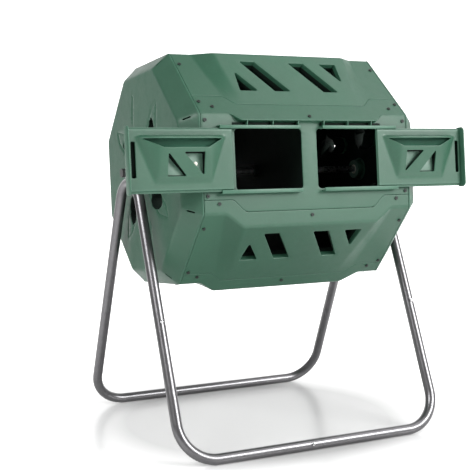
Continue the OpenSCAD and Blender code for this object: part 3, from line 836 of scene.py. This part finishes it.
def door(side):
    node = "door_left" if side < 0 else "door_right"
    open_at = LEFT_OPEN if side < 0 else RIGHT_OPEN
    us = [0.8, 1.6, 2.4, 3.2, 6, 11, 16] + list(np.arange(20, 240, 3.2)) + [241, 244]
    vs = [-61, -58.6, -57.9, -57.2, -56.4, -53, -47, -42] + list(np.arange(-39, 60, 3.1)) + [62, 66, 70, 74.6, 75.4, 76.1, 76.8]
    outer = [(u, -61.8) for u in [0.5] + us + [246.4]] + [(246.4, v) for v in vs[1:]] + [(u, 77.8) for u in ([0.5] + us + [246.4])[::-1]] + [(0.5, v) for v in vs[1:][::-1]]
    pocket = rounded([(24.5, 54.8), (66, 34.0), (171, 34.0), (221.5, 54.8)], [1.5, 9.0, 9.0, 1.5], 6, ccw=False)
    t1, t2 = (rounded(q, 2.6, 4, ccw=False) for q in VANES)
    slot = rounded([(229, -30), (240.4, -30), (240.4, 49), (229, 49)], 3.6, 4, ccw=False)
    holes = [split_long(h, 5.0) for h in (pocket, t1, t2, slot)]
    p2, tr, loops = plane_mesh(outer, holes, grid_points(us, vs), 0.5)
    b = Build()

    def P(u, v):
        return (u, -AP - door_face(u, v), v)
    lip = [(0.3, 0.06), (0.7, 0.35), (0.95, 1.0), (1.0, 2.2)]
    deep = [(0.3, 0.06), (0.7, 0.35), (0.9, 1.0), (1.0, 2.4), (1.3, 6.2), (0.5, 6.5), (0.2, 4.0)]
    # vent and slot walls deeper than 2.9 mm and the door's back take the near-black painted-shade material
    shell(b, p2, tr, loops, P, 2.6, [[(0.25, 0.08), (0.5, 0.5), (0.5, 2.0)], lip, deep, deep, lip], 0, 1)

    def bar_u(o, w, a):   # outline in (outward, up), run along u
        return (a, -AP - o, w)

    def plate(u, w, a):   # outline in (u, up), thickness outward
        return (u, -AP - a, w)
    # upright pull: a thin flange with rounded corners
    prism(b, rounded([(3.2, -65), (21, -65), (28.9, -58), (28.9, 74), (22, 81.3), (3.2, 81.3)], [1.2, 6, 6, 6, 6, 1.2], 5), 246.2, 249.3, bar_u, 1.0, flip=True)
    # dark channel behind the finger slot, in the near-black material: painted shade that makes the slot read deep
    prism(b, rect(3.4, 5.4, -44, 62, 0.6, 2), 221, 246.6, bar_u, 0.4, mat=1, flip=True)
    # wall behind the scoop, front and back in the near-black material: painted shade behind the vents
    wall_loop = split_long(rounded([(30, -35), (217, -35), (217, 58), (30, 58)], 4, 4), 12.0)
    pw, tw, lw = plane_mesh(wall_loop, [], grid_points(np.arange(40, 212, 9.0), np.arange(-28, 52, 9.0)), 2.0)
    shell(b, pw, tw, lw, lambda u, v: (u, -AP - 5.0 - 0.4 * math.exp(-((u - 120) / 60) ** 2), v), 1.8, [[(0.3, 0.1), (0.5, 0.6)]], 1, 1)
    # vanes set back behind the vents, in a paler copy of the green: painted light that offsets the shade they sit in
    for i, q in enumerate(VANES):
        prism(b, rounded([(p[0], p[1] - 3) for p in q], 2.0, 4), 11.1, 12.9, plate, 0.5, mat=2, flip=False)
    # blocks that carry the vanes, in the near-black painted-shade material
    prism(b, rect(80.5, 91.5, 8.5, 19.5, 2.0, 4), 5.2, 11.4, plate, 0.4, mat=1, flip=False)
    prism(b, rect(148.5, 159.5, -27.5, -16.5, 2.0, 4), 5.2, 11.4, plate, 0.4, mat=1, flip=False)
    # pocket back that slopes away from the opening's upper edge, in a duller copy of the green with less sheen: painted
    # shade inside the hood
    prism(b, rounded([(9.8, 59.6), (12.3, 59.6), (8.0, 28.0), (6.2, 28.0)], 0.4, 2, ccw=True), 24, 223, bar_u, 0.4, mat=4, flip=True)
    # side and floor webs that carry the wall, in the near-black painted-shade material
    prism(b, rect(3.2, 12.4, -35.5, 57, 0.8, 2), 28.2, 30.4, bar_u, 0.4, mat=1, flip=True)
    prism(b, rect(3.2, 12.4, -35.5, 57, 0.8, 2), 216.6, 218.8, bar_u, 0.4, mat=1, flip=True)
    prism(b, rect(3.2, 13.6, -41.3, -38.7, 0.7, 2), 62, 182, bar_u, 0.4, mat=1, flip=True)
    if side < 0:
        # small moulded boss on the left door's vane
        prism(b, [(92 + 4.6 * math.cos(t), 0 + 4.6 * math.sin(t)) for t in np.linspace(0, 2 * math.pi, 24, endpoint=False)], 12.6, 15.2, plate, 0.8, mat=3, flip=False)
    m = in_drum(0) @ Matrix.Translation((0, 0, 0))
    for i, v in enumerate(b.v):
        b.v[i] = (v[0] + open_at, v[1], v[2])
    o = b.make("sliding_" + node, m, [mat_green, mat_painted_shade, mat_vane_painted_light, mat_nylon, mat_shade], mirror=side < 0, angle=36)
    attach(o, node)
    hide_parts(node)
    return o


front_panel()
raised_panel("panel_upper_front", 1, -48, -77)
for kk, nn in ((2, "panel_top"), (3, "panel_upper_back"), (4, "panel_back"), (5, "panel_lower_back"), (6, "panel_bottom"), (7, "panel_lower_front")):
    raised_panel(nn, kk)
end_cover(-1)
end_cover(1)
door(-1)
door(1)

# ------------------------------------------------------------------ carried-over nodes
# CAD parts in the green_plastic slot get the near-black painted-shade material, not their own green
LOOK = {"stand_steel": mat_steel, "black_plastic": mat_black, "green_plastic": mat_painted_shade, "bush_plastic": mat_nylon,
        "screw_steel": mat_screw, "bright_steel": mat_zinc, "door_plastic": mat_green}
for sp in frame["record"]["subparts"]:
    o = NODES[sp["node"]]
    o.data.materials.clear()
    o.data.materials.append(LOOK[sp["material_slot"]])
    for p in o.data.polygons:
        p.material_index = 0

# ------------------------------------------------------------------ floor, light, camera
bpy.ops.mesh.primitive_grid_add(x_subdivisions=8, y_subdivisions=8, size=16, location=(0, 0, 0))
floor = bpy.context.object
floor.name = "studio_floor"
fm, fnt, fb = nodes_of("studio_floor")
ftc = add(fnt, "ShaderNodeTexCoord")
flen = add(fnt, "ShaderNodeVectorMath", operation="LENGTH")
fnt.links.new(ftc.outputs["Object"], flen.inputs[0])
fzone = maprange(fnt, flen.outputs["Value"], 0.34, 0.70, 0, 1)
fnt.links.new(mix(fnt, (0.40, 0.40, 0.40), (0.92, 0.92, 0.92), fzone), fb.inputs["Base Color"])
fb.inputs["Emission Color"].default_value = (1, 1, 1, 1)
fnt.links.new(maprange(fnt, flen.outputs["Value"], 0.34, 0.70, 0.05, 0.66), fb.inputs["Emission Strength"])
fb.inputs["Roughness"].default_value = 0.25
fb.inputs["Specular IOR Level"].default_value = 0.35
floor.data.materials.append(fm)

world = bpy.data.worlds.new("studio")
world.use_nodes = True
bg = world.node_tree.nodes["Background"]
bg.inputs[0].default_value = (1.0, 1.0, 1.0, 1)
bg.inputs[1].default_value = 0.34
bpy.context.scene.world = world
bpy.context.scene.view_settings.view_transform = "Standard"


def softbox(name, loc, aim, size, power, size_y=None):
    d = bpy.data.lights.new(name, "AREA")
    d.shape = "RECTANGLE"
    d.size, d.size_y, d.energy = size, size_y or size, power
    o = bpy.data.objects.new(name, d)
    o.location = loc
    o.rotation_euler = (Vector(aim) - Vector(loc)).to_track_quat("-Z", "Y").to_euler()
    bpy.context.scene.collection.objects.link(o)
    return o


softbox("key_right_front", (2.7, -4.0, 2.75), (0, 0, 0.6), 2.6, 370, 2.4)
softbox("top_soft", (1.7, -0.5, 3.0), (0, 0, 0.6), 2.2, 34)
softbox("left_high", (-2.8, -1.2, 2.6), (0, 0, 0.7), 1.6, 95, 1.6)

# plain white sheet behind the product
bpy.ops.mesh.primitive_grid_add(x_subdivisions=4, y_subdivisions=4, size=1, location=(2.6, 5.2, 1.8), rotation=(math.pi / 2, 0, math.radians(-26)))
sheet = bpy.context.object
sheet.name = "studio_backdrop"
sheet.scale = (12, 6, 1)
sm, snt, sb = nodes_of("studio_backdrop")
sb.inputs["Base Color"].default_value = (0.6, 0.6, 0.6, 1)
sb.inputs["Roughness"].default_value = 0.9
sb.inputs["Emission Color"].default_value = (1, 1, 1, 1)
sb.inputs["Emission Strength"].default_value = 0.92
sheet.data.materials.append(sm)

az, el, roll = math.radians(-26.1044), math.radians(5.018), math.radians(-0.3442)
back = Vector((math.sin(az) * math.cos(el), -math.cos(az) * math.cos(el), math.sin(el)))
right = Vector((math.cos(az), math.sin(az), 0))
up = back.cross(right)
r2 = math.cos(roll) * right + math.sin(roll) * up
u2 = -math.sin(roll) * right + math.cos(roll) * up
cam_d = bpy.data.cameras.new("camera")
cam_d.lens, cam_d.sensor_width = 76.62, 36.0
cam = bpy.data.objects.new("camera", cam_d)
loc = Vector((-0.0624, 0, 0.4783)) + back * 2.533
cam.matrix_world = Matrix(((r2[0], u2[0], back[0], loc[0]), (r2[1], u2[1], back[1], loc[1]), (r2[2], u2[2], back[2], loc[2]), (0, 0, 0, 1)))
bpy.context.scene.collection.objects.link(cam)
bpy.context.scene.camera = cam
